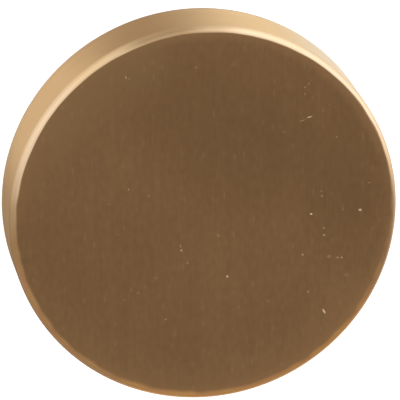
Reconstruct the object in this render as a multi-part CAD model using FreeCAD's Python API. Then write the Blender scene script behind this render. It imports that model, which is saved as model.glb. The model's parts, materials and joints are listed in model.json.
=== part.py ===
"""Cabinet knob: a plain round disc on a short round stem, turned in one piece from brass bar.

The knob stands on the end of its stem, which is the face that goes against the door. The origin is
the centre of that face, +Z runs along the knob's axis to the flat front face, and +Y is the way the
front face is brushed, which is up when the knob is on an upright door. Lengths are millimetres.
"""

import FreeCAD, Part
import math
import os

# How far the flat front face stands off the door.
PROJECTION = 25.0

# The head is the disc that the fingers pull.
HEAD_DIAMETER = 35.0
HEAD_THICKNESS = 6.3
FRONT_EDGE_RADIUS = 0.55
BACK_EDGE_RADIUS = 0.35

# The stem carries the head clear of the door.
STEM_DIAMETER = 14.0
STEM_ROOT_RADIUS = 1.2
FOOT_CHAMFER = 0.4

# The blind hole takes an M4 machine screw, and is drawn at the size it is drilled before tapping.
TAP_DRILL_DIAMETER = 3.3
DRILLED_DEPTH = 14.0
DRILL_POINT_ANGLE = 118.0
MOUTH_BEVEL = 0.65

HEAD_BACK = PROJECTION - HEAD_THICKNESS
FULL_TURN = 360.0


def at(radius, height):
    """A point of the half section, by its distance from the axis and its height above the foot."""
    return FreeCAD.Vector(radius, 0.0, height)


def straight(start, end):
    """A straight edge of the half section."""
    return Part.LineSegment(start, end).toShape()


def run_of_straights(points):
    """Straight edges from each point to the next."""
    return [straight(start, end) for start, end in zip(points, points[1:])]


def rounded(centre, radius, start_angle, end_angle):
    """An arc of the half section. Its angles are in degrees, counted up from pointing outwards."""

    def on_arc(angle):
        turn = math.radians(angle)
        return centre + at(radius * math.cos(turn), radius * math.sin(turn))

    middle_angle = (start_angle + end_angle) / 2.0
    return Part.Arc(on_arc(start_angle), on_arc(middle_angle), on_arc(end_angle)).toShape()


def hole_edges():
    """The screw hole, from the tip left by the drill down to the bevelled mouth in the foot."""
    hole_radius = TAP_DRILL_DIAMETER / 2.0
    point_height = hole_radius / math.tan(math.radians(DRILL_POINT_ANGLE / 2.0))
    return run_of_straights(
        [
            at(0.0, DRILLED_DEPTH + point_height),
            at(hole_radius, DRILLED_DEPTH),
            at(hole_radius, MOUTH_BEVEL),
            at(hole_radius + MOUTH_BEVEL, 0.0),
        ]
    )


def stem_edges():
    """The foot, its chamfer, the side of the stem, and the root that blends it into the head."""
    hole_radius = TAP_DRILL_DIAMETER / 2.0
    stem_radius = STEM_DIAMETER / 2.0
    edges = run_of_straights(
        [
            at(hole_radius + MOUTH_BEVEL, 0.0),
            at(stem_radius - FOOT_CHAMFER, 0.0),
            at(stem_radius, FOOT_CHAMFER),
            at(stem_radius, HEAD_BACK - STEM_ROOT_RADIUS),
        ]
    )
    root_centre = at(stem_radius + STEM_ROOT_RADIUS, HEAD_BACK - STEM_ROOT_RADIUS)
    edges.append(rounded(root_centre, STEM_ROOT_RADIUS, 180.0, 90.0))
    return edges


def head_edges():
    """The back of the head, its rim with both edges rounded, and the front face to the axis."""
    head_radius = HEAD_DIAMETER / 2.0
    back_centre = at(head_radius - BACK_EDGE_RADIUS, HEAD_BACK + BACK_EDGE_RADIUS)
    front_centre = at(head_radius - FRONT_EDGE_RADIUS, PROJECTION - FRONT_EDGE_RADIUS)
    return [
        straight(
            at(STEM_DIAMETER / 2.0 + STEM_ROOT_RADIUS, HEAD_BACK),
            at(head_radius - BACK_EDGE_RADIUS, HEAD_BACK),
        ),
        rounded(back_centre, BACK_EDGE_RADIUS, -90.0, 0.0),
        straight(
            at(head_radius, HEAD_BACK + BACK_EDGE_RADIUS),
            at(head_radius, PROJECTION - FRONT_EDGE_RADIUS),
        ),
        rounded(front_centre, FRONT_EDGE_RADIUS, 0.0, 90.0),
        straight(at(head_radius - FRONT_EDGE_RADIUS, PROJECTION), at(0.0, PROJECTION)),
    ]


def turned_knob():
    """The whole knob: its half section, closed along the axis, turned once round."""
    edges = hole_edges() + stem_edges() + head_edges()
    drill_tip = edges[0].Vertexes[0].Point
    edges.append(straight(at(0.0, PROJECTION), drill_tip))
    section = Part.Face(Part.Wire(edges))
    foot_centre = at(0.0, 0.0)
    along_axis = FreeCAD.Vector(0.0, 0.0, 1.0)
    return section.revolve(foot_centre, along_axis, FULL_TURN)


knob = turned_knob()
os.makedirs("parts", exist_ok=True)
knob.exportStep("parts/knob.step")
print(f"knob: {len(knob.Solids)} solid, valid {knob.isValid()}, volume {knob.Volume:.1f} mm3")
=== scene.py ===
import json
import math

import bpy
from mathutils import Matrix, Vector


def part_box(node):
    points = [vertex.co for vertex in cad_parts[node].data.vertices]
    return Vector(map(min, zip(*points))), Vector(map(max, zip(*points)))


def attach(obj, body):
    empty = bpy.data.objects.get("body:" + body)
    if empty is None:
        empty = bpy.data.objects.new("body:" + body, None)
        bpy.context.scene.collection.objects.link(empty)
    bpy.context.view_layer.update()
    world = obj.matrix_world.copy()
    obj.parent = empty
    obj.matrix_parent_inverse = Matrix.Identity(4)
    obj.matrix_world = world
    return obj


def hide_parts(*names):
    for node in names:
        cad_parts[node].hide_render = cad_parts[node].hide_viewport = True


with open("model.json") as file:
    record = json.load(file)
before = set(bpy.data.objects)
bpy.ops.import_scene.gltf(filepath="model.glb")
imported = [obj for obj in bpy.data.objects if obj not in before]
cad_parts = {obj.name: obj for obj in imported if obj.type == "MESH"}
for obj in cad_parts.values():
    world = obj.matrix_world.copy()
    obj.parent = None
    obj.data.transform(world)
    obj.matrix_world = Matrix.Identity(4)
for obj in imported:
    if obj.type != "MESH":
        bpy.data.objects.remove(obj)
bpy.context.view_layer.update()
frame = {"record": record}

# The cabinet knob
#
# One piece of solid brass bar, turned to a thin disc on a short round stem, with its edges broken.
# The foot of the stem is faced off, drilled, bevelled and tapped M4 for the screw that comes through
# the door. The front face is brushed, and the knob is toned brown.
MM = 0.001
_, knob_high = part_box("knob")
HEAD_RADIUS = knob_high.x
FRONT = knob_high.z
HEAD_THICKNESS = 6.3 * MM
HEAD_BACK = FRONT - HEAD_THICKNESS
FRONT_EDGE = 0.55 * MM
BACK_EDGE = 0.35 * MM
STEM_RADIUS = 7.0 * MM
STEM_ROOT = 1.2 * MM
FOOT_CHAMFER = 0.4 * MM
BROKEN_EDGE = 0.06 * MM

screw_hole = next(m for m in frame["record"]["mounts"] if m["name"] == "screw_hole")
HOLE_RADIUS = screw_hole["dims"]["r_mm"] * MM
HOLE_WALL = screw_hole["dims"]["length_mm"] * MM
MOUTH_BEVEL = 0.65 * MM
HOLE_END = MOUTH_BEVEL + HOLE_WALL
DRILL_POINT_ANGLE = math.radians(118)
DRILL_POINT = HOLE_RADIUS / math.tan(DRILL_POINT_ANGLE / 2)

# The M4 thread's sizes, each under the name of the input that takes it.
THREAD = {
    "Thread pitch": 0.7 * MM,
    "Thread depth": 0.35 * MM,
    "Groove mouth": 0.49 * MM,
    "Groove floor": 0.09 * MM,
    "Thread length": 11.0 * MM,
    "Thread run-out": 1.0 * MM,
}

STEPS_AROUND = 192
STEPS_IN_A_ROUND = 12
ROWS_IN_A_PITCH = 12
THREAD_ROW = THREAD["Thread pitch"] / ROWS_IN_A_PITCH
WIDEST_ROW = 1.5 * MM
HOLDING_ROW = 0.05 * MM
SAME_POINT = 0.001 * MM
SHARP_CREASE = math.radians(30)

# The three finishes, in the order of their materials.
TAPPED, TURNED, BRUSHED = 0, 1, 2

# The corners of half the section: radius, height, how far the corner is rounded, and the widest row
# and the finish of the surface that runs on to the next corner.
corners = [
    (0.0, HOLE_END + DRILL_POINT, 0.0, WIDEST_ROW, TAPPED),
    (HOLE_RADIUS, HOLE_END, BROKEN_EDGE, THREAD_ROW, TAPPED),
    (HOLE_RADIUS, MOUTH_BEVEL, 0.0, THREAD_ROW, TAPPED),
    (HOLE_RADIUS + MOUTH_BEVEL, 0.0, BROKEN_EDGE, WIDEST_ROW, TURNED),
    (STEM_RADIUS - FOOT_CHAMFER, 0.0, BROKEN_EDGE, WIDEST_ROW, TURNED),
    (STEM_RADIUS, FOOT_CHAMFER, BROKEN_EDGE, WIDEST_ROW, TURNED),
    (STEM_RADIUS, HEAD_BACK, STEM_ROOT, WIDEST_ROW, TURNED),
    (HEAD_RADIUS, HEAD_BACK, BACK_EDGE, WIDEST_ROW, TURNED),
    (HEAD_RADIUS, FRONT, FRONT_EDGE, WIDEST_ROW, BRUSHED),
    (0.0, FRONT, 0.0, WIDEST_ROW, BRUSHED),
]


def rounded(before, corner, after, radius):
    """The points of an arc that rounds a corner off, or the corner alone where it stays sharp."""
    if not radius:
        return [corner]
    back = (before - corner).normalized()
    on = (after - corner).normalized()
    half_angle = back.angle(on) / 2
    centre = corner + (back + on).normalized() * radius / math.sin(half_angle)
    start = (corner + back * radius / math.tan(half_angle) - centre).normalized()
    end = (corner + on * radius / math.tan(half_angle) - centre).normalized()
    steps = range(STEPS_IN_A_ROUND + 1)
    return [centre + start.slerp(end, step / STEPS_IN_A_ROUND) * radius for step in steps]


def rows_between(start, end, widest):
    """Points along a straight surface. A narrow row at each end keeps its shading flat."""
    length = (end - start).length
    narrow = min(HOLDING_ROW, length / 4)
    rows = math.ceil((length - 2 * narrow) / widest)
    distances = [narrow + (length - 2 * narrow) * row / rows for row in range(rows + 1)]
    return [start.lerp(end, distance / length) for distance in distances]


def half_section():
    """The half section's points in order, and the finish of the surface after each of them."""
    places = [Vector((radius, 0.0, height)) for radius, height, *_ in corners]
    points, finishes = [], []
    corner_arc = [places[0]]
    for number in range(1, len(corners)):
        widest, finish = corners[number - 1][3:]
        after = places[min(number + 1, len(corners) - 1)]
        next_arc = rounded(places[number - 1], places[number], after, corners[number][2])
        rows = rows_between(corner_arc[-1], next_arc[0], widest)
        run = [corner_arc[-1], *rows, *next_arc[:-1]]
        points += run
        finishes += [finish] * len(run)
        corner_arc = next_arc
    return points + corner_arc[-1:], finishes + [finish]


def set_stops(ramp, stops):
    """Gives a colour ramp its stops, each a place from 0 to 1 and a colour, with eased steps."""
    ramp.interpolation = "EASE"
    ramp.elements.remove(ramp.elements[1])
    ramp.elements[0].position, ramp.elements[0].color = stops[0]
    for place, colour in stops[1:]:
        ramp.elements.new(place).color = colour


class Wire:
    """An output in a node tree. Arithmetic adds Math nodes, and node() adds any other kind."""

    def __init__(self, tree, socket=None):
        self.tree = tree
        self.socket = socket

    def node(self, kind, settings=None, inputs=None, output=0):
        """Adds a node with its settings, then a value or a wire for each input."""
        made = self.tree.nodes.new(kind)
        for name, value in (settings or {}).items():
            if name == "stops":
                set_stops(made.color_ramp, value)
            else:
                setattr(made, name, value)
        for name, value in (inputs or {}).items():
            if isinstance(value, Wire):
                self.tree.links.new(value.socket, made.inputs[name])
            else:
                made.inputs[name].default_value = value
        return Wire(self.tree, made.outputs[output]) if made.outputs else None

    def also(self, output):
        """Another output of the same node."""
        return Wire(self.tree, self.socket.node.outputs[output])

    def xyz(self):
        """The three numbers of a vector."""
        x = self.node("ShaderNodeSeparateXYZ", inputs={"Vector": self}, output="X")
        return x, x.also("Y"), x.also("Z")

    def maths(self, operation, *others):
        """A Math node on this number and any others."""
        numbers = dict(enumerate([self, *others]))
        return self.node("ShaderNodeMath", {"operation": operation}, numbers)

    def __add__(self, other):
        return self.maths("ADD", other)

    def __sub__(self, other):
        return self.maths("SUBTRACT", other)

    def __rsub__(self, other):
        return self.node("ShaderNodeMath", {"operation": "SUBTRACT"}, {0: other, 1: self})

    def __mul__(self, other):
        return self.maths("MULTIPLY", other)

    def __truediv__(self, other):
        return self.maths("DIVIDE", other)

    def __mod__(self, other):
        return self.maths("MODULO", other)

    __radd__ = __add__
    __rmul__ = __mul__

    def ramp(self, low, high):
        """Eases from 0 where the wire is at low to 1 where it is at high, and stays there."""
        inputs = {"Value": self, "From Min": low, "From Max": high}
        return self.node("ShaderNodeMapRange", {"interpolation_type": "SMOOTHSTEP"}, inputs)


def lathe_tree(finish_materials):
    """Geometry nodes that turn a half section about the axis and cut the thread into its hole."""
    tree = bpy.data.node_groups.new("turned_on_the_lathe", "GeometryNodeTree")
    new_socket = tree.interface.new_socket
    new_socket("Geometry", in_out="INPUT", socket_type="NodeSocketGeometry")
    new_socket("Steps around", in_out="INPUT", socket_type="NodeSocketInt")
    for name in ["Hole radius", *THREAD]:
        new_socket(name, in_out="INPUT", socket_type="NodeSocketFloat")
    new_socket("Geometry", in_out="OUTPUT", socket_type="NodeSocketGeometry")
    start = Wire(tree)
    section = start.node("NodeGroupInput", output="Geometry")
    steps, hole, pitch, depth, mouth, floor, length, run_out = [
        section.also(name) for name in ["Steps around", "Hole radius", *THREAD]
    ]

    # A flat grid with a column for each step round and a row for each point of the half section.
    rows = start.node("GeometryNodeAttributeDomainSize", inputs={"Geometry": section})
    columns_and_rows = {"Vertices X": steps + 1, "Vertices Y": rows}
    grid = start.node("GeometryNodeMeshGrid", inputs=columns_and_rows)
    index = start.node("GeometryNodeInputIndex")
    position = start.node("GeometryNodeInputPosition")
    section_point = start.node(
        "GeometryNodeSampleIndex",
        {"data_type": "FLOAT_VECTOR"},
        {"Geometry": section, "Value": position, "Index": index % rows},
    )
    radius, _, height = section_point.xyz()
    turns = (index / rows).maths("FLOOR") / steps

    # The thread is one groove that climbs a pitch a turn, cut where it is deeper than the hole.
    from_groove = ((height / pitch - turns).maths("FRACT") - 0.5).maths("ABSOLUTE") * pitch
    into_groove = (mouth - 2 * from_groove) / (mouth - floor)
    groove = into_groove.maths("MAXIMUM", 0).maths("MINIMUM", 1)
    cut = (hole + depth * groove - radius).maths("MAXIMUM", 0)
    threaded = 1 - height.ramp(length, length + run_out)
    cut_radius = radius + cut * threaded
    angle = turns * math.tau
    x = cut_radius * angle.maths("COSINE")
    y = cut_radius * angle.maths("SINE")
    turned_point = start.node("ShaderNodeCombineXYZ", inputs={"X": x, "Y": y, "Z": height})
    turning = {"Geometry": grid, "Position": turned_point}
    shape = start.node("GeometryNodeSetPosition", inputs=turning)

    # Each face takes the finish of its row before the seam and the poles are closed.
    whole_number = {"data_type": "INT"}
    finish = start.node("GeometryNodeInputNamedAttribute", whole_number, {"Name": "finish"})
    row_finish = {"Geometry": section, "Value": finish, "Index": index % (rows - 1)}
    face_finish = start.node("GeometryNodeSampleIndex", whole_number, row_finish)
    shape = start.node(
        "GeometryNodeStoreNamedAttribute",
        {"data_type": "INT", "domain": "FACE"},
        {"Geometry": shape, "Name": "finish", "Value": face_finish},
    )
    closing = {"Geometry": shape, "Distance": SAME_POINT}
    shape = start.node("GeometryNodeMergeByDistance", inputs=closing)
    shape = start.node("GeometryNodeSetShadeSmooth", inputs={"Geometry": shape})
    shape = start.node("GeometryNodeRealizeInstances", inputs={"Geometry": shape})
    same = {"data_type": "INT", "operation": "EQUAL"}
    for number, material in enumerate(finish_materials):
        # The third and fourth sockets of a Compare node are its whole numbers.
        wanted = start.node("FunctionNodeCompare", same, {2: finish, 3: number})
        inputs = {"Geometry": shape, "Selection": wanted, "Material": material}
        shape = start.node("GeometryNodeSetMaterial", inputs=inputs)
    start.node("NodeGroupOutput", inputs={"Geometry": shape})
    return tree


def turned_knob(finish_materials):
    """The knob: its half section, turned by the geometry nodes and kept as a plain mesh."""
    points, finishes = half_section()
    mesh = bpy.data.meshes.new("knob_half_section")
    mesh.from_pydata(points, [(n, n + 1) for n in range(len(points) - 1)], [])
    mesh.attributes.new("finish", "INT", "POINT").data.foreach_set("value", finishes)
    knob = bpy.data.objects.new("brass_knob", mesh)
    bpy.context.scene.collection.objects.link(knob)
    modifier = knob.modifiers.new("turned_on_the_lathe", "NODES")
    modifier.node_group = lathe_tree(finish_materials)
    sizes = {"Steps around": STEPS_AROUND, "Hole radius": HOLE_RADIUS, **THREAD}
    for item in modifier.node_group.interface.items_tree:
        if item.name in sizes:
            modifier[item.identifier] = sizes[item.name]
    evaluated = knob.evaluated_get(bpy.context.evaluated_depsgraph_get())
    turned = bpy.data.meshes.new_from_object(evaluated)
    turned.name = "brass_knob"
    turned.attributes.remove(turned.attributes["finish"])
    turned.materials.pop(index=0)  # the grid's own empty slot
    turned.set_sharp_from_angle(angle=SHARP_CREASE)
    knob.modifiers.clear()
    knob.data = turned
    bpy.data.meshes.remove(mesh)
    return knob


# The knob's finish. The front face is brushed in straight lines along Y, toned brown, and nicked in
# use. The rim, the back and the stem keep the lathe's round lines, in uneven tones; round the rim the
# brown is painted with reflections of the studio, lighter and paler where the bright panels are and
# darker where the room is dim. The front edge is rubbed pale over much of the way round, partly wear
# and partly a painted highlight, and shows a painted copper reflection of a warm dim room over the
# rest.
FACE_TONE = (0.136, 0.0745, 0.0333, 1.0)
FACE_TONE_LIGHT = (0.213, 0.117, 0.0522, 1.0)
FACE_TONE_OLIVE = (0.196, 0.1165, 0.0515, 1.0)
# RIM_WARM, RIM_GOLD and RIM_YELLOW are lighter and paler copies of the rim's brown that paint
# reflections of the bright panels, and RIM_DARK paints the dim room's shade.
RIM_BROWN = (0.37, 0.226, 0.105, 1.0)
RIM_DARK = (0.31, 0.185, 0.083, 1.0)
RIM_WARM = (0.530, 0.352, 0.180, 1.0)
RIM_GOLD = (0.588, 0.415, 0.225, 1.0)
RIM_YELLOW = (0.495, 0.362, 0.196, 1.0)
STEM_TONE = (0.51, 0.335, 0.168, 1.0)
BACK_EDGE_TONE = (0.36, 0.270, 0.190, 1.0)
# The copper, orange and saddle edge colours are a painted reflection of a warm dim room; DIM_COPPER
# and DULL_COPPER are its darker copies.
COPPER_EDGE = (0.475, 0.240, 0.087, 1.0)
DIM_COPPER = (0.40, 0.215, 0.092, 1.0)
DULL_COPPER = (0.36, 0.200, 0.092, 1.0)
ORANGE_EDGE = (0.455, 0.242, 0.107, 1.0)
SADDLE_EDGE = (0.39, 0.222, 0.088, 1.0)
# RUBBED_EDGE and RUBBED_GOLD are pale brass; on the front edge they are laid on partly as wear and
# partly as a painted highlight.
RUBBED_EDGE = (0.71, 0.525, 0.345, 1.0)
RUBBED_GOLD = (0.73, 0.520, 0.302, 1.0)
BARE_BRASS = (0.74, 0.545, 0.355, 1.0)
REDDER = (1.02, 0.99, 1.01, 1.0)
YELLOWER = (0.99, 1.015, 0.955, 1.0)

# The tables from here to the face's go by bearing, in degrees from +X towards +Y. The rim has its
# brown tone with painted reflections of the studio in it, lighter and paler where the bright panels
# are and darker where the room is dim, and a clear lacquer that is left only in one place.
rim_tones_and_painted_light = [
    (0, RIM_WARM), (30, RIM_YELLOW), (52, RIM_YELLOW), (76, RIM_GOLD), (108, RIM_BROWN),
    (136, RIM_WARM), (156, RIM_WARM), (178, RIM_BROWN), (194, RIM_DARK), (240, RIM_DARK),
    (290, RIM_BROWN), (320, RIM_BROWN),
]
rim_lacquer = [(15, 0.0), (32, 0.58), (50, 0.52), (72, 0.0)]

# The front edge's colour where it isn't rubbed, a painted reflection of a warm dim room in lighter and
# darker copies by bearing; how far it is rubbed pale, partly wear and partly a painted highlight that
# follows the bright panels, and the tone that this brings out; and how much brighter a painted
# highlight makes it next to the face.
edge_tones_and_painted_reflections = [
    (0, DULL_COPPER), (15, COPPER_EDGE), (45, RIM_BROWN), (165, RIM_BROWN), (176, SADDLE_EDGE),
    (188, SADDLE_EDGE), (200, ORANGE_EDGE), (216, DIM_COPPER), (236, DIM_COPPER),
    (256, COPPER_EDGE), (320, COPPER_EDGE), (345, DULL_COPPER),
]
edge_rubbing_and_painted_highlight = [
    (0, 0.25), (10, 0.5), (20, 0.8), (30, 1.0), (77, 1.0), (87, 0.5), (97, 0.15), (107, 0.32),
    (117, 0.92), (128, 0.75), (139, 0.84), (149, 0.95), (159, 0.91), (169, 0.65), (178, 0.28),
    (187, 0.05), (205, 0.0), (345, 0.0),
]
rubbed_and_highlight_tones = [
    (98, RUBBED_EDGE), (108, RUBBED_GOLD), (125, RUBBED_GOLD), (139, RUBBED_EDGE),
]
edge_painted_highlight = [(115, 0.0), (135, 0.18), (150, 0.18), (165, 0.25), (176, 0.07), (184, 0.0)]

# In millimetres, how far in from the rim the edge's tone begins and how wide it fades in there, and
# then how far it reaches round to the rim: 0 where it stops early, 1 where it goes all the way.
edge_starts = [
    (0, 0.62), (12, 0.50), (25, 0.485), (38, 0.515), (50, 0.585), (62, 0.64), (90, 0.65),
    (120, 0.69), (165, 0.67), (175, 0.65), (184, 0.76), (192, 0.79), (204, 0.82), (218, 0.82),
    (236, 0.85), (252, 0.92), (285, 0.91), (305, 0.85), (324, 0.85), (345, 0.84),
]
edge_fades = [
    (0, 0.42), (12, 0.20), (45, 0.17), (65, 0.14), (80, 0.12), (165, 0.14), (175, 0.22),
    (185, 0.38), (192, 0.46), (225, 0.50), (250, 0.58), (345, 0.60),
]
edge_reaches = [
    (0, 0.7), (18, 0.5), (45, 0.45), (165, 0.45), (185, 0.0), (234, 0.0), (256, 1.0), (320, 1.0),
    (345, 0.8),
]

# How far the face's tone is worn lighter towards the rim, how far close to it, and how far the face
# is yellowed towards the rim.
face_wear = [
    (90, 0.0), (115, 0.3), (135, 0.7), (150, 0.75), (165, 0.5), (185, 0.0), (215, 0.5),
    (270, 1.0), (325, 1.0), (345, 0.3),
]
close_wear = [
    (0, 0.12), (14, 0.2), (30, 0.5), (50, 0.5), (75, 0.35), (105, 0.5), (120, 0.45), (150, 0.3),
    (170, 0.2), (185, 0.0), (225, 0.05), (245, 0.3), (335, 0.3),
]
face_yellowing = [(92, 0.0), (115, 0.75), (145, 0.75), (162, 0.2), (182, 0.0)]

# Where along the radius or the axis each of these comes in, and where it is full.
FACE_WEAR_STARTS = 0.7 * HEAD_RADIUS
YELLOWING_STARTS = 0.6 * HEAD_RADIUS
CLOSE_WEAR_STARTS = HEAD_RADIUS - 1.6 * MM
CLOSE_WEAR_FULL = HEAD_RADIUS - 0.45 * MM
PAINTED_HIGHLIGHT_STARTS = HEAD_RADIUS - 0.2 * MM
PAINTED_HIGHLIGHT_FULL = HEAD_RADIUS - 0.42 * MM
SHORT_REACH_STARTS = FRONT - 0.75 * FRONT_EDGE
LONG_REACH_STARTS = FRONT - 1.15 * FRONT_EDGE
LONG_REACH_FULL = FRONT - 0.45 * FRONT_EDGE
BACK_TONE_STARTS = HEAD_BACK + 0.7 * MM
BACK_TONE_FULL = HEAD_BACK + 0.3 * MM
HEAD_TONE_STARTS = HEAD_BACK - 0.1 * MM

# The patches of the front edge: their size, how far they shift where the edge's tone begins, and the
# two levels of noise between which they turn from redder to yellower.
EDGE_PATCH = 1.5 * MM
EDGE_WAVER = 0.6
REDDER_BELOW = 0.38
YELLOWER_ABOVE = 0.62

# The face's brushing, and how far it changes the tone and the gloss. Its other lumps of tone follow:
# size across and along the brushing, detail, and how far they change the tone.
GRAIN_WIDTH = 0.20 * MM
GRAIN_LENGTH = 1.6 * MM
GRAIN_DEPTH = 0.0012 * MM
GRAIN_TONE = 0.33
GRAIN_GLOSS = 0.15
FACE_ROUGHNESS = 0.36
WHOLE_FACE = 1.0
face_lumps = [
    (0.9 * MM, 30 * MM, 2.0, 0.2),
    (0.5 * MM, 0.75 * MM, 0.0, 0.24),
    (9 * MM, 12 * MM, 2.0, 0.36),
]

# Soft darker ovals on the face, in millimetres and degrees: middle, lengths, and turn from +X
# towards +Y. Shade and wear change the tone by the same amount.
face_shades = [((4.2, 7.9), (34, 16), -19), ((13.5, -0.5), (10, 15), 0)]
SHADE_OR_WEAR = 0.25

# Nicks in the face, in millimetres and degrees: across, up, length, width, turn from +X towards +Y,
# and how bright the brass shows.
nicks = [
    (9.46, 8.68, 0.70, 0.17, 16, 0.8),
    (8.80, 8.38, 0.75, 0.12, 20, 0.3),
    (11.93, 6.72, 0.18, 0.16, 0, 0.36),
    (14.95, 2.27, 0.30, 0.18, 0, 0.24),
    (9.67, -0.40, 0.36, 0.24, -30, 1.0),
    (14.14, -0.24, 0.40, 0.30, 0, 0.9),
    (10.64, 1.24, 0.30, 0.36, 0, 0.25),
    (10.58, 1.70, 0.20, 0.30, 0, 0.2),
    (12.57, -0.12, 0.22, 0.34, 0, 0.15),
    (10.84, -1.78, 0.36, 0.26, 0, 0.25),
    (10.88, -2.46, 0.36, 0.26, 0, 0.4),
    (9.02, 10.83, 0.16, 0.30, 0, 0.25),
    (9.35, 11.76, 0.40, 0.20, 50, 0.2),
    (9.02, 11.46, 0.24, 0.24, 0, 0.25),
    (11.26, 9.75, 0.22, 0.20, 0, 0.13),
    (7.17, 7.40, 0.60, 0.45, 0, 0.06),
    (12.94, -6.32, 0.75, 0.50, 0, 0.07),
    (-2.10, -3.21, 0.25, 0.28, 0, 0.6),
    (-2.17, -2.79, 0.18, 0.50, 8, 0.25),
    (-1.55, -4.42, 0.36, 0.30, 0, 0.18),
    (2.07, -5.90, 0.24, 0.32, -20, 0.95),
    (1.25, -1.98, 0.55, 0.14, -50, 0.3),
    (-6.02, -7.02, 0.44, 0.40, 0, 0.11),
    (-6.63, -6.68, 0.32, 0.36, 0, 0.10),
    (-7.28, -7.58, 0.44, 0.30, 0, 0.09),
    (-4.40, -5.72, 0.46, 0.24, 0, 0.10),
    (-6.83, 2.75, 0.20, 0.30, 10, 0.28),
    (-5.02, 2.04, 0.30, 0.40, 0, 0.15),
    (-8.56, 1.43, 0.45, 0.11, 0, 0.15),
    (-7.82, -1.41, 0.46, 0.34, -20, 0.05),
    (-3.53, -9.66, 0.28, 0.22, 0, 0.3),
    (5.75, -8.44, 0.42, 0.36, 0, 0.10),
    (3.09, -8.88, 0.40, 0.28, 20, 0.07),
    (8.92, -4.20, 0.30, 0.36, 0, 0.3),
    (11.34, -4.50, 0.55, 0.40, 0, 0.18),
    (12.12, -4.65, 0.28, 0.28, 0, 0.35),
    (12.50, -4.67, 0.28, 0.28, 0, 0.38),
    (9.45, -7.76, 0.30, 0.38, 0, 0.22),
    (10.92, -9.70, 0.72, 0.24, -62, 0.95),
    (-7.01, 13.10, 0.48, 0.13, -75, 0.5),
    (-6.74, 12.98, 0.30, 0.12, 40, 0.3),
    (-0.77, 13.73, 0.36, 0.38, 0, 0.12),
    (-5.38, 13.75, 0.22, 0.28, 0, 0.12),
]
NICK_SHOWS = 0.85
NICK_MIDDLE = 0.8
NICK_DEPTH = 2

# Faint short flecks along the brushing, one at most in each cell of the face.
FLECKS_APART = 0.9 * MM
FLECK_STRETCH = 2.5
FLECK_RADIUS = 0.2
FLECK_CHANCE = 0.5
FLECK_SHOWS = 0.045

# The lathe's round lines on the rim, the back and the stem, and how far they and the clouds of tone
# there change the tone. A line's length is in radians, as it runs round the axis.
LINE_WIDTH = 0.12 * MM
LINE_LENGTH = 0.5
LINE_DEPTH = 0.001 * MM
LINE_GLOSS = 0.12
LINE_SPREAD = 0.9
QUARTER_TURN = 0.25
TURNED_CLOUD = (7 * MM, 7 * MM, 5 * MM)
TURNED_UNEVENNESS = 0.2
TURNED_ROUGHNESS = 0.65
EDGE_ROUGHNESS = 0.3
LACQUER_ROUGHNESS = 0.3

# The chatter marks in the screw hole.
CHATTER = (0.4 * MM, 0.4 * MM, 0.1 * MM)
CHATTER_DEPTH = 0.002 * MM
CHATTER_GLOSS = 0.1
TAPPED_ROUGHNESS = 0.26


def new_finish(name):
    """A new material with an empty tree, and the wire to build it from."""
    material = bpy.data.materials.new(name)
    material.use_nodes = True
    material.node_tree.nodes.clear()
    return material, Wire(material.node_tree)


def mixed(factor, first, second):
    """The first colour where factor is 0, and the second where it is 1."""
    # A Mix node has sockets for each type of value. These are its factor and its two colours.
    inputs = {0: factor, 6: first, 7: second}
    return factor.node("ShaderNodeMix", {"data_type": "RGBA"}, inputs, output=2)


def brightened(colour, factor):
    """A colour, made as many times brighter as factor says."""
    inputs = {0: colour, "Scale": factor}
    return factor.node("ShaderNodeVectorMath", {"operation": "SCALE"}, inputs)


def measured_in(place, steps):
    """A place, measured in steps of so many metres along each axis."""
    inputs = {"Vector": place, "Scale": [1 / step for step in steps]}
    return place.node("ShaderNodeMapping", {"vector_type": "POINT"}, inputs)


def noise(place, lump, detail=2.0):
    """Noise between 0 and 1, in lumps of so many metres along each axis."""
    lumps = {"Vector": measured_in(place, lump), "Scale": 1.0}
    return place.node("ShaderNodeTexNoise", inputs={**lumps, "Detail": detail, "Roughness": 0.55})


def metal(start, colour, roughness, height, depth, round_lines=0.0, lacquer=0.0):
    """A metal surface, wired to the material's output. Round lines spread its gloss across them."""
    bump = start.node(
        "ShaderNodeBump", inputs={"Strength": 1.0, "Distance": depth, "Height": height}
    )
    inputs = {"Base Color": colour, "Metallic": 1.0, "Roughness": roughness, "Normal": bump}
    spread = {"Anisotropic": round_lines, "Anisotropic Rotation": QUARTER_TURN}
    coat = {"Coat Weight": lacquer, "Coat Roughness": LACQUER_ROUGHNESS}
    surface = start.node("ShaderNodeBsdfPrincipled", inputs={**inputs, **spread, **coat})
    start.node("ShaderNodeOutputMaterial", inputs={"Surface": surface})


def oval_patch(place, middle, lengths, turn):
    """A soft oval on the front face: 1 in its middle and 0 from its edge outwards."""
    inputs = {
        "Vector": place,
        "Location": (middle[0] * MM, middle[1] * MM, FRONT),
        "Rotation": (0.0, 0.0, math.radians(turn)),
        "Scale": (lengths[0] / 2 * MM, lengths[1] / 2 * MM, WHOLE_FACE),
    }
    oval = {"Vector": place.node("ShaderNodeMapping", {"vector_type": "TEXTURE"}, inputs)}
    return place.node("ShaderNodeTexGradient", {"gradient_type": "SPHERICAL"}, oval, "Fac")


def from_axis(x, y):
    """The distance from the axis."""
    return (x * x + y * y).maths("SQRT")


def bearing_of(x, y):
    """The bearing, as a share of a turn from +X towards +Y."""
    return (y.maths("ARCTAN2", x) / math.tau).maths("FRACT")


def by_bearing(bearing, table):
    """Eases round the axis from row to row of a table of numbers or colours by bearing."""
    stops = []
    for degrees, value in table:
        colour = value if isinstance(value, tuple) else (value, value, value, 1.0)
        stops.append((degrees / 360, colour))
    stops.append((1.0, stops[0][1]))
    return bearing.node("ShaderNodeValToRGB", {"stops": stops}, {"Fac": bearing})


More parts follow.
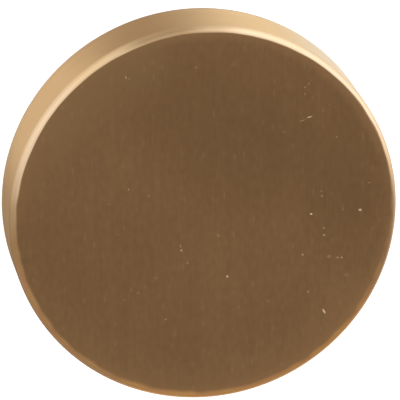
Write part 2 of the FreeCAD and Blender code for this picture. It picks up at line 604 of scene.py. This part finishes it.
def front_edge(place, radius, bearing):
    """How near the front edge is, from 0 on the face to 1 on the edge, and the edge's colour with its
    painted reflection and highlight.
    """
    patches = noise(place, (EDGE_PATCH, EDGE_PATCH, EDGE_PATCH), 0.0)
    past_start = (radius - HEAD_RADIUS) / MM + by_bearing(bearing, edge_starts)
    share = past_start / by_bearing(bearing, edge_fades) + (patches - 0.5) * EDGE_WAVER
    tint = mixed(patches.ramp(REDDER_BELOW, YELLOWER_ABOVE), REDDER, YELLOWER)
    # The edge's colours by bearing are a painted reflection of a warm dim room, lighter and darker by
    # bearing.
    tones = {0: by_bearing(bearing, edge_tones_and_painted_reflections), 1: tint}
    tinted = place.node("ShaderNodeVectorMath", {"operation": "MULTIPLY"}, tones)
    # Rubbed pale: partly wear, partly a painted highlight that follows the bright panels.
    rubbing_and_highlight = by_bearing(bearing, edge_rubbing_and_painted_highlight)
    rubbed_and_highlit = mixed(rubbing_and_highlight, tinted, by_bearing(bearing, rubbed_and_highlight_tones))
    # A painted highlight next to the face.
    painted_highlight = radius.ramp(PAINTED_HIGHLIGHT_STARTS, PAINTED_HIGHLIGHT_FULL) * by_bearing(bearing, edge_painted_highlight)
    return share.ramp(0.0, 1.0), brightened(rubbed_and_highlit, 1 + painted_highlight)


def face_tone(place, radius, bearing, grain):
    """The face's brown: uneven, darker in its ovals, and lighter and yellower towards the rim."""
    tone = 0.5 + (grain - 0.5) * GRAIN_TONE
    for across, along, detail, change in face_lumps:
        tone = tone + (noise(place, (across, along, WHOLE_FACE), detail) - 0.5) * change
    worn = radius.ramp(FACE_WEAR_STARTS, HEAD_RADIUS) * by_bearing(bearing, face_wear)
    close = radius.ramp(CLOSE_WEAR_STARTS, CLOSE_WEAR_FULL) * by_bearing(bearing, close_wear)
    tone = tone + worn * SHADE_OR_WEAR + close
    for middle, lengths, turn in face_shades:
        tone = tone - oval_patch(place, middle, lengths, turn) * SHADE_OR_WEAR
    toned = mixed(tone.ramp(0.0, 1.0), FACE_TONE, FACE_TONE_LIGHT)
    yellowed = radius.ramp(YELLOWING_STARTS, HEAD_RADIUS) * by_bearing(bearing, face_yellowing)
    return mixed(yellowed, toned, FACE_TONE_OLIVE)


def nicks_and_flecks(place):
    """How far bare brass shows in the face."""
    cell = measured_in(place, (FLECKS_APART, FLECKS_APART * FLECK_STRETCH, WHOLE_FACE))
    cells = {"Vector": cell, "Scale": 1.0}
    from_middle = place.node("ShaderNodeTexVoronoi", {"voronoi_dimensions": "2D"}, cells)
    colour = {"Color": from_middle.also("Color")}
    chance = place.node("ShaderNodeSeparateColor", inputs=colour, output="Red")
    bare = from_middle.ramp(FLECK_RADIUS, 0.0) * chance.ramp(FLECK_CHANCE, 1.0) * FLECK_SHOWS
    for across, up, length, width, turn, bright in nicks:
        nick = oval_patch(place, (across, up), (length, width), turn).ramp(0.0, NICK_MIDDLE)
        bare = bare.maths("MAXIMUM", nick * (bright * NICK_SHOWS))
    return bare


def brushed_face():
    """The front face: straight lines along Y, nicks, and the front edge's colour round it, with its
    painted reflection and highlight.
    """
    material, start = new_finish("brushed_face")
    place = start.node("ShaderNodeTexCoord", output="Object")
    x, y, _ = place.xyz()
    radius, bearing = from_axis(x, y), bearing_of(x, y)
    grain = noise(place, (GRAIN_WIDTH, GRAIN_LENGTH, WHOLE_FACE))
    nearness, edge_colour = front_edge(place, radius, bearing)
    edged = mixed(nearness, face_tone(place, radius, bearing, grain), edge_colour)
    bare = nicks_and_flecks(place)
    colour = mixed(bare, edged, BARE_BRASS)
    roughness = FACE_ROUGHNESS + (grain - 0.5) * GRAIN_GLOSS
    metal(start, colour, roughness, grain - bare * NICK_DEPTH, GRAIN_DEPTH)
    return material


def turned_surface():
    """The rim, back and stem: round lines in uneven tones, with painted reflections round the rim, and
    the front edge's colour above, with its painted reflection and highlight.
    """
    material, start = new_finish("turned_brass")
    place = start.node("ShaderNodeTexCoord", output="Object")
    x, y, z = place.xyz()
    radius, bearing = from_axis(x, y), bearing_of(x, y)
    round_and_along = {"X": x / radius, "Y": y / radius, "Z": z + radius}
    line_place = start.node("ShaderNodeCombineXYZ", inputs=round_and_along)
    lines = noise(line_place, (LINE_LENGTH, LINE_LENGTH, LINE_WIDTH))
    clouds = noise(place, TURNED_CLOUD)
    # Round the rim, the colour by bearing is a painted reflection of the studio over the brass's brown
    # tone.
    rim_tone_and_painted_light = by_bearing(bearing, rim_tones_and_painted_light)
    toned = mixed(radius.ramp(STEM_RADIUS, HEAD_RADIUS), STEM_TONE, rim_tone_and_painted_light)
    line_change = (lines - 0.5) * TURNED_UNEVENNESS
    toned = brightened(toned, 1 + line_change + (clouds - 0.5) * TURNED_UNEVENNESS)
    on_head = z.ramp(HEAD_TONE_STARTS, HEAD_BACK)
    at_back_edge = z.ramp(BACK_TONE_STARTS, BACK_TONE_FULL) * on_head
    toned = mixed(at_back_edge, toned, BACK_EDGE_TONE)
    short = z.ramp(SHORT_REACH_STARTS, FRONT)
    long = z.ramp(LONG_REACH_STARTS, LONG_REACH_FULL)
    at_edge = short + (long - short) * by_bearing(bearing, edge_reaches)
    nearness, edge_colour = front_edge(place, radius, bearing)
    colour = mixed(at_edge, toned, mixed(nearness, FACE_TONE_LIGHT, edge_colour))
    smoother = at_edge * (TURNED_ROUGHNESS - EDGE_ROUGHNESS)
    roughness = TURNED_ROUGHNESS + (lines - 0.5) * LINE_GLOSS - smoother
    lacquer = by_bearing(bearing, rim_lacquer) * on_head
    metal(start, colour, roughness, lines, LINE_DEPTH, LINE_SPREAD, lacquer)
    return material


def tapped_surface():
    """The screw hole: bare bright brass, as the drill and the tap left it."""
    material, start = new_finish("tapped_brass")
    chatter = noise(start.node("ShaderNodeTexCoord", output="Object"), CHATTER)
    colour = mixed(chatter, BARE_BRASS, RUBBED_EDGE)
    roughness = TAPPED_ROUGHNESS + chatter * CHATTER_GLOSS
    metal(start, colour, roughness, chatter, CHATTER_DEPTH)
    return material


knob = turned_knob([tapped_surface(), turned_surface(), brushed_face()])
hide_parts("knob")
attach(knob, "root")


# The floor and the studio
#
# A plain white sheet that the knob stands on, with a hole under the foot and its outer edge turned up,
# in a plain soft studio. A broad bright panel stands at the photograph's right and a smaller one at
# its left, and the rest of the room is dimmer. All the light is neutral.
SHEET_HOLE = 6.5 * MM
SHEET_RADIUS = 2.0
SHEET_LIP = 0.15
SHEET_STEPS = 96
SHEET_GRAIN = MM / 0.9
SHEET_ROUGHNESS = 0.9
SHEET_GLOW = 0.5
SHEET_WHITE = (0.84, 0.84, 0.84, 1.0)
SHEET_WHITE_LIGHT = (0.86, 0.86, 0.86, 1.0)


def white_floor():
    """The sheet: matt white, with a glow that keeps it white to the eye and to the metal."""
    material, start = new_finish("white_sheet")
    place = start.node("ShaderNodeTexCoord", output="Object")
    grain = noise(place, (SHEET_GRAIN, SHEET_GRAIN, SHEET_GRAIN))
    paper = mixed(grain, SHEET_WHITE, SHEET_WHITE_LIGHT)
    white = {"Base Color": paper, "Roughness": SHEET_ROUGHNESS}
    matt = start.node("ShaderNodeBsdfPrincipled", inputs=white)
    camera_ray = start.node("ShaderNodeLightPath", output="Is Camera Ray")
    seen = camera_ray + camera_ray.also("Is Glossy Ray") + camera_ray.also("Is Transmission Ray")
    strength = seen.maths("MINIMUM", 1) * SHEET_GLOW
    glow = start.node("ShaderNodeEmission", inputs={"Strength": strength})
    both = start.node("ShaderNodeAddShader", inputs={0: matt, 1: glow})
    start.node("ShaderNodeOutputMaterial", inputs={"Surface": both})

    # Three rings of points: round the hole, where the sheet turns up, and round its outer edge.
    rings = [(SHEET_HOLE, 0.0), (SHEET_RADIUS, 0.0), (SHEET_RADIUS + SHEET_LIP, SHEET_LIP)]
    angles = [math.tau * step / SHEET_STEPS for step in range(SHEET_STEPS)]
    points, faces = [], []
    for radius, height in rings:
        points += [(radius * math.cos(a), radius * math.sin(a), height) for a in angles]
    for inner in (0, SHEET_STEPS):
        outer = inner + SHEET_STEPS
        for step in range(SHEET_STEPS):
            on = (step + 1) % SHEET_STEPS
            faces.append((inner + step, outer + step, outer + on, inner + on))
    mesh = bpy.data.meshes.new("white_sheet")
    mesh.from_pydata(points, [], faces)
    mesh.materials.append(material)
    floor = bpy.data.objects.new("white_sheet", mesh)
    bpy.context.scene.collection.objects.link(floor)
    return floor


white_floor()

BROAD_PANEL = (1.9, 1.9, 1.9, 1.0)
GAP = (0.74, 0.74, 0.74, 1.0)
SMALL_PANEL = (1.43, 1.43, 1.43, 1.0)
DIM_ROOM = (0.69, 0.69, 0.69, 1.0)
CEILING = (1.0, 1.0, 1.0, 1.0)

# Round the room by bearing, in degrees from +X towards +Y. The ceiling's middle is where the front
# face's reflection of it comes from, and its edge and full light are cosines of the angle from there.
panels = [
    (0, BROAD_PANEL), (58, BROAD_PANEL), (96, GAP), (106, GAP), (130, SMALL_PANEL),
    (172, SMALL_PANEL), (200, DIM_ROOM), (340, DIM_ROOM), (357, BROAD_PANEL),
]
CEILING_MIDDLE = (0.152, -0.308, 0.939)
CEILING_EDGE = 0.90
CEILING_FULL = 0.97

room = bpy.data.worlds.new("soft_studio")
room.use_nodes = True
room.node_tree.nodes.clear()
start = Wire(room.node_tree)
way = start.node("ShaderNodeTexCoord", output="Generated")
x, y, _ = way.xyz()
walls = by_bearing(bearing_of(x, y), panels)
ways = {0: way, 1: CEILING_MIDDLE}
overhead = start.node("ShaderNodeVectorMath", {"operation": "DOT_PRODUCT"}, ways, "Value")
light = mixed(overhead.ramp(CEILING_EDGE, CEILING_FULL), walls, CEILING)
background = start.node("ShaderNodeBackground", inputs={"Color": light, "Strength": 1.0})
start.node("ShaderNodeOutputWorld", inputs={"Surface": background})
bpy.context.scene.world = room
bpy.context.scene.view_settings.view_transform = "Standard"

# The camera
#
# It looks almost straight at the front face, from a little left of the knob's axis and a little above
# it, as one stands before a door, with a long lens that the head nearly fills.
LEFT_OF_AXIS = math.radians(9.2)
ABOVE_AXIS = math.radians(17.95)
DISTANCE = 385.5 * MM
AIM_LEFT = 0.408 * MM
AIM_UP = 1.345 * MM
back = Vector(
    (
        -math.sin(LEFT_OF_AXIS) * math.cos(ABOVE_AXIS),
        math.sin(ABOVE_AXIS),
        math.cos(LEFT_OF_AXIS) * math.cos(ABOVE_AXIS),
    )
)
right = Vector((0.0, 1.0, 0.0)).cross(back).normalized()
upward = back.cross(right)
aim = Vector((0.0, 0.0, FRONT)) - right * AIM_LEFT + upward * AIM_UP

camera = bpy.data.objects.new("camera", bpy.data.cameras.new("camera"))
camera.data.lens = 389.0
camera.data.sensor_width = 36.0
camera.data.clip_start = 0.01
camera.data.clip_end = 10.0
looking = Matrix((right, upward, back)).transposed().to_4x4()
camera.matrix_world = Matrix.Translation(aim + back * DISTANCE) @ looking
bpy.context.scene.collection.objects.link(camera)
bpy.context.scene.camera = camera
